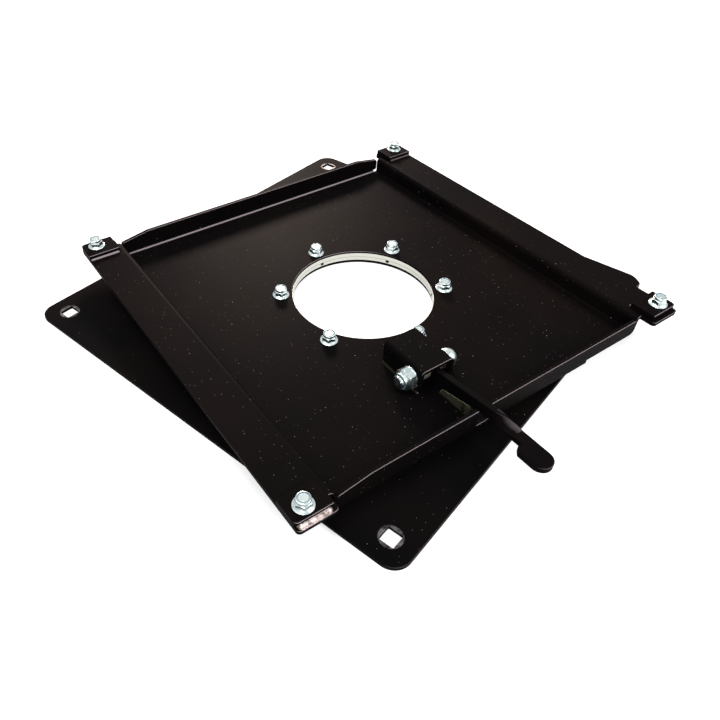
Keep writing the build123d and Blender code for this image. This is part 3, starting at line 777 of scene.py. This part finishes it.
class SEATBASE_OT_welds(bpy.types.Operator):
    """Makes the weld beads along the pads and the bracket's feet"""

    bl_idname = "seatbase.welds"
    bl_label = "Welds"

    def execute(self, context):
        sizes = context.scene.seat_base_welds
        lines = self.lines(sizes)
        for number, (name, start, end, width, material) in enumerate(lines):
            reach = (end - start).length
            count = max(2, round(reach / (width * sizes.step)))
            bead = self.bead(width / 2)
            row = repeat_tree(f"Along {name}", "row", sizes.seed + number, math.pi)
            values = {"Place": start, "Turn": 0.0, "Count": count, "Step": (end - start) / (count - 1)}
            weld = repeated_piece(f"weld_{name}", row, bead, values, finish(material))
            hand_over(weld, "upper", [])
        return {"FINISHED"}

    def bead(self, radius):
        """One ripple of a weld: an uneven dome."""
        levels, height = 7, radius * 0.9
        lobes, uneven = 3, 0.03
        rings = []
        for level in range(levels):
            rise = math.pi / 2 * level / levels
            rings.append((
                height * math.sin(rise),
                lambda angle, reach=radius * math.cos(rise): reach * (1 + uneven * math.sin(lobes * angle)),
            ))
        return polar_mesh("weld_bead", rings, WELD_COLUMNS, closed_ends=True)

    def lines(self, sizes):
        """Each weld's name, its two ends, width and look, worked out from the boxes of what it joins."""
        found = []
        for name, side, width, material in (
            ("front_left", "front", sizes.wide, "silver_weld"),
            ("back_left", "front", sizes.narrow, "coated_weld"),
            ("back_right", "front", sizes.narrow, "coated_fillet"),
            ("front_right", "back", sizes.narrow, "coated_weld"),
        ):
            low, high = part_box(f"pad_{name}")
            y = low.y if side == "front" else high.y
            # a weld starts a little inside the pad's ends
            inset = width * 0.7
            found.append((
                f"pad_{name}", Vector((low.x + inset, y, low.z)), Vector((high.x - inset, y, low.z)),
                width, material,
            ))
        low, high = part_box("lever_bracket")
        for side, x in (("left", low.x), ("right", high.x)):
            start = Vector((x, low.y + sizes.narrow / 2, low.z))
            end = Vector((x, high.y - sizes.narrow / 2, low.z))
            found.append((f"bracket_{side}", start, end, sizes.narrow, "coated_fillet"))
        return found


class SEATBASE_OT_race(bpy.types.Operator):
    """Finishes the race, its balls, cage and rivets"""

    bl_idname = "seatbase.race"
    bl_label = "Ball race"

    def execute(self, context):
        steel = finish("turned_race")
        for node, body in (
            ("inner_race_upper", "upper"), ("inner_race_lower", "upper"),
            ("outer_race", "base"), ("race_rivets", "base"),
        ):
            coated_copy(node, body, steel, context.scene.seat_base_metal.turned_edge)
        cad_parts["bearing_balls"].data.materials[0] = finish("ball_steel")
        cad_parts["ball_cage"].data.materials[0] = finish("nylon_cage")
        return {"FINISHED"}


class SEATBASE_OT_fasteners(bpy.types.Operator):
    """Makes the lock nuts, rings and threaded ends round the race and on the pads"""

    bl_idname = "seatbase.fasteners"
    bl_label = "Small screws and nuts"

    def execute(self, context):
        sizes = context.scene.seat_base_fasteners
        # the first race screw stands half a step off the X axis
        half_step = math.pi / sizes.race_count
        low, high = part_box("race_nuts")
        flange = (high.x - low.x) / 2 - sizes.race_circle * math.cos(half_step)
        around = repeat_tree("Round the race", "circle", sizes.race_seed, math.pi)
        self.fasten(sizes, "race", around, flange, {
            "Turn": half_step, "Count": sizes.race_count, "Radius": sizes.race_circle,
        })
        # their hexagon heads reach past the bolts' axes, with corners along X and flats along Y
        bolt_low, bolt_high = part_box("seat_bolts")
        across = sizes.small_flats / math.cos(math.pi / 6)
        corners = repeat_tree("On the pads", "grid", sizes.seat_seed, math.pi)
        self.fasten(sizes, "seat", corners, flange, {
            "Turn": 0.0,
            "Spacing X": (bolt_high.x - bolt_low.x) - across,
            "Spacing Y": (bolt_high.y - bolt_low.y) - sizes.small_flats,
        })
        return {"FINISHED"}

    def fasten(self, sizes, place, tree, flange, values):
        """One set of nuts, nylon rings and threads, on the points of its tree."""
        ring_foot, ring_top = 0.8, 0.945
        thread_foot = 0.5 * MM
        bolts = {"race": "race_screws", "seat": "seat_bolts"}[place]
        low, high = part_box(f"{place}_nuts")
        middle = (low + high) / 2
        at = (0.0, 0.0, low.z) if place == "race" else (middle.x, middle.y, low.z)
        values = {**values, "Place": at}
        height = high.z - low.z
        nut = nut_mesh(
            f"{place}_nut", sizes.small_flats, height, flange, sizes.small_bolt,
            sizes.small_collar, sizes.collar_wall, sizes.small_hexagon,
        )
        nuts = repeated_piece(f"{place}_nuts_detailed", tree, nut, values, finish("blue_zinc"))
        hand_over(nuts, "upper", [f"{place}_nuts"])
        ring = ring_mesh(
            f"{place}_ring", height * ring_foot, height * ring_top, sizes.small_bolt * 0.98,
            sizes.small_collar - sizes.collar_wall,
        )
        rings = repeated_piece(f"{place}_nut_rings", tree, ring, values, finish("nylon_ring"))
        hand_over(rings, "upper", [f"{place}_nut_inserts"])
        bolt_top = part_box(bolts)[1].z
        thread = thread_mesh(
            f"{place}_thread", thread_foot, bolt_top - low.z + sizes.end_proud,
            sizes.small_bolt, sizes.small_pitch,
        )
        threads = repeated_piece(f"{place}_threads", tree, thread, values, finish("blue_zinc"))
        hand_over(threads, "upper", [])
        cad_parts[bolts].data.materials[0] = finish("pale_zinc")


class SEATBASE_OT_pivot(bpy.types.Operator):
    """Makes the pivot's nut and thread, and finishes its bolt, washer and spacers"""

    bl_idname = "seatbase.pivot"
    bl_label = "Lever pivot"

    def execute(self, context):
        sizes = context.scene.seat_base_fasteners
        low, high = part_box("pivot_nut")
        bolt_low, bolt_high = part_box("pivot_bolt")
        middle = (low + high) / 2
        # a nut is made with its foot at the origin and its mouth up, and its mouth goes to -X here
        outward = Matrix.Translation((high.x, middle.y, middle.z)) @ Matrix.Rotation(-math.pi / 2, 4, "Y")
        outward = outward @ Matrix.Rotation(sizes.pivot_turn, 4, "Z")
        height = high.x - low.x
        foot_radius = sizes.pivot_flats * 0.53
        ring_foot, ring_top = 0.8, 0.96
        thread_foot = 0.5 * MM
        nut = nut_mesh(
            "pivot_nut_detailed", sizes.pivot_flats, height, foot_radius, sizes.pivot_bolt,
            sizes.pivot_collar, sizes.collar_wall, sizes.pivot_hexagon,
        )
        ring = ring_mesh(
            "pivot_nut_ring", height * ring_foot, height * ring_top, sizes.pivot_bolt * 0.98,
            sizes.pivot_collar - sizes.collar_wall,
        )
        thread = thread_mesh(
            "pivot_thread", thread_foot, high.x - bolt_low.x + sizes.end_proud,
            sizes.pivot_bolt, sizes.pivot_pitch,
        )
        for mesh, slot, material, nodes in (
            (nut, "zinc_fastener", "blue_zinc", ["pivot_nut"]),
            (ring, "nut_nylon", "nylon_ring", ["pivot_nut_insert"]),
            (thread, "zinc_fastener", "blue_zinc", []),
        ):
            mesh.transform(outward)
            hand_over(new_piece(mesh.name, mesh, finish(material)), "upper", nodes)
        for node, slot, material in (
            ("pivot_bolt", "zinc_fastener", "blue_zinc"),
            ("pivot_washer", "zinc_fastener", "blue_zinc"),
            ("spacer_left", "zinc_spacer", "ivory_zinc"),
            ("spacer_right", "zinc_spacer", "golden_zinc"),
        ):
            coated_copy(node, "upper", finish(material), context.scene.seat_base_metal.bolt_edge)
        return {"FINISHED"}


class SEATBASE_OT_lever(bpy.types.Operator):
    """Finishes the lever and its lock plate"""

    bl_idname = "seatbase.lever"
    bl_label = "Release lever"

    def execute(self, context):
        coat = context.scene.seat_base_coat
        bar = finish("black_powder_coat_lever")
        coated_copy("release_lever", "lever", bar, coat.lever_edge)
        coated_copy("lock_plate", "lever", finish("dull_zinc"), coat.edge)
        return {"FINISHED"}


class SEATBASE_OT_stage(bpy.types.Operator):
    """Sets the floor, the lamps, the room and the camera"""

    bl_idname = "seatbase.stage"
    bl_label = "Studio"

    def execute(self, context):
        studio = context.scene.seat_base_studio
        self.floor(studio)
        self.room(context, studio)
        # each lamp's place and size in metres, its power in watts and its colour
        for name, place, size, power, colour in (
            ("softbox_right", (0.95, -1.15, 1.15), (0.9, 0.9), 16.0, studio.white),
            ("softbox_front", (-1.05, -1.15, 0.95), (0.7, 0.7), 12.0, studio.white),
            ("softbox_top", (-0.45, 0.15, 1.7), (0.9, 0.9), 14.0, studio.white),
            ("softbox_back", (0.75, 1.45, 0.8), (0.45, 0.35), 36.0, studio.warm),
        ):
            self.lamp(context, name, place, size, power, colour)
        self.camera(context, studio)
        return {"FINISHED"}

    def floor(self, studio):
        """A pale floor that the view, gloss and glass see as white, with the object's shadow on it."""
        half = studio.floor_half
        mesh = bpy.data.meshes.new("floor")
        corners = [(-half, -half, 0.0), (half, -half, 0.0), (half, half, 0.0), (-half, half, 0.0)]
        mesh.from_pydata(corners, [], [(0, 1, 2, 3)])
        matt, faint_gloss = 0.9, 0.1
        material, tree = new_material("studio_floor")[:2]
        close_material(tree, {
            "Base Color": studio.floor, "Roughness": matt, "Specular IOR Level": faint_gloss,
            "Emission Color": studio.white,
            "Emission Strength": self.strength(tree, 0.0, studio.floor_seen),
        })
        new_piece("studio_floor", mesh, material)

    def strength(self, tree, plain, seen):
        """A light's strength: one for what it lights, another for the view, gloss and glass."""
        path = add_node(tree, "ShaderNodeLightPath")
        shown = path.outputs["Is Camera Ray"]
        for ray in ("Is Glossy Ray", "Is Transmission Ray"):
            shown = calculate(tree, "MAXIMUM", shown, path.outputs[ray])
        return mapped(tree, shown, plain, seen)

    def room(self, context, studio):
        """Plain even light from all round, white where the view, gloss and glass see it."""
        world = bpy.data.worlds.new("plain_room")
        world.use_nodes = True
        tree = world.node_tree
        background = tree.nodes["Background"]
        background.inputs["Color"].default_value = studio.white
        strength = self.strength(tree, studio.room_light, studio.room_seen)
        tree.links.new(strength, background.inputs["Strength"])
        context.scene.world = world

    def lamp(self, context, name, place, size, power, colour):
        """A soft rectangular lamp that faces the object."""
        light = bpy.data.lights.new(name, "AREA")
        light.shape = "RECTANGLE"
        light.size, light.size_y = size
        light.energy = power
        light.color = tuple(colour)[:3]
        lamp = bpy.data.objects.new(name, light)
        lamp.location = place
        lamp.rotation_euler = (-Vector(place)).to_track_quat("-Z", "Y").to_euler()
        context.scene.collection.objects.link(lamp)

    def camera(self, context, studio):
        """The photograph's view."""
        data = bpy.data.cameras.new("camera")
        # width of the picture in mm, which the lens's focal length goes with
        data.sensor_width = 36.0
        data.lens = studio.lens
        data.shift_x = studio.shift
        data.clip_start = 0.01
        camera = bpy.data.objects.new("camera", data)
        camera.location = studio.camera_place
        camera.rotation_euler = studio.camera_turn
        context.scene.collection.objects.link(camera)
        context.scene.camera = camera


OPERATORS = (
    SEATBASE_OT_finishes,
    SEATBASE_OT_stage,
    SEATBASE_OT_plates,
    SEATBASE_OT_welds,
    SEATBASE_OT_race,
    SEATBASE_OT_fasteners,
    SEATBASE_OT_pivot,
    SEATBASE_OT_lever,
)
SETTINGS = {
    "seat_base_coat": CoatSettings,
    "seat_base_metal": MetalSettings,
    "seat_base_fasteners": FastenerSettings,
    "seat_base_welds": WeldSettings,
    "seat_base_studio": StudioSettings,
}


class SEATBASE_PT_panel(bpy.types.Panel):
    """The builders of the seat base, in their order"""

    bl_label = "Seat base"
    bl_idname = "SEATBASE_PT_panel"
    bl_space_type = "VIEW_3D"
    bl_region_type = "UI"
    bl_category = "Seat base"

    def draw(self, context):
        for operator in OPERATORS:
            self.layout.operator(operator.bl_idname)


def register():
    for settings in SETTINGS.values():
        bpy.utils.register_class(settings)
    for name, settings in SETTINGS.items():
        setattr(bpy.types.Scene, name, bpy.props.PointerProperty(type=settings))
    for operator in OPERATORS:
        bpy.utils.register_class(operator)
    bpy.utils.register_class(SEATBASE_PT_panel)


def unregister():
    bpy.utils.unregister_class(SEATBASE_PT_panel)
    for operator in reversed(OPERATORS):
        bpy.utils.unregister_class(operator)
    for name, settings in SETTINGS.items():
        delattr(bpy.types.Scene, name)
        bpy.utils.unregister_class(settings)


def main():
    register()
    bpy.context.scene.view_settings.view_transform = "Standard"
    for operator in OPERATORS:
        group, name = operator.bl_idname.split(".")
        getattr(getattr(bpy.ops, group), name)()


if __name__ == "__main__":
    main()
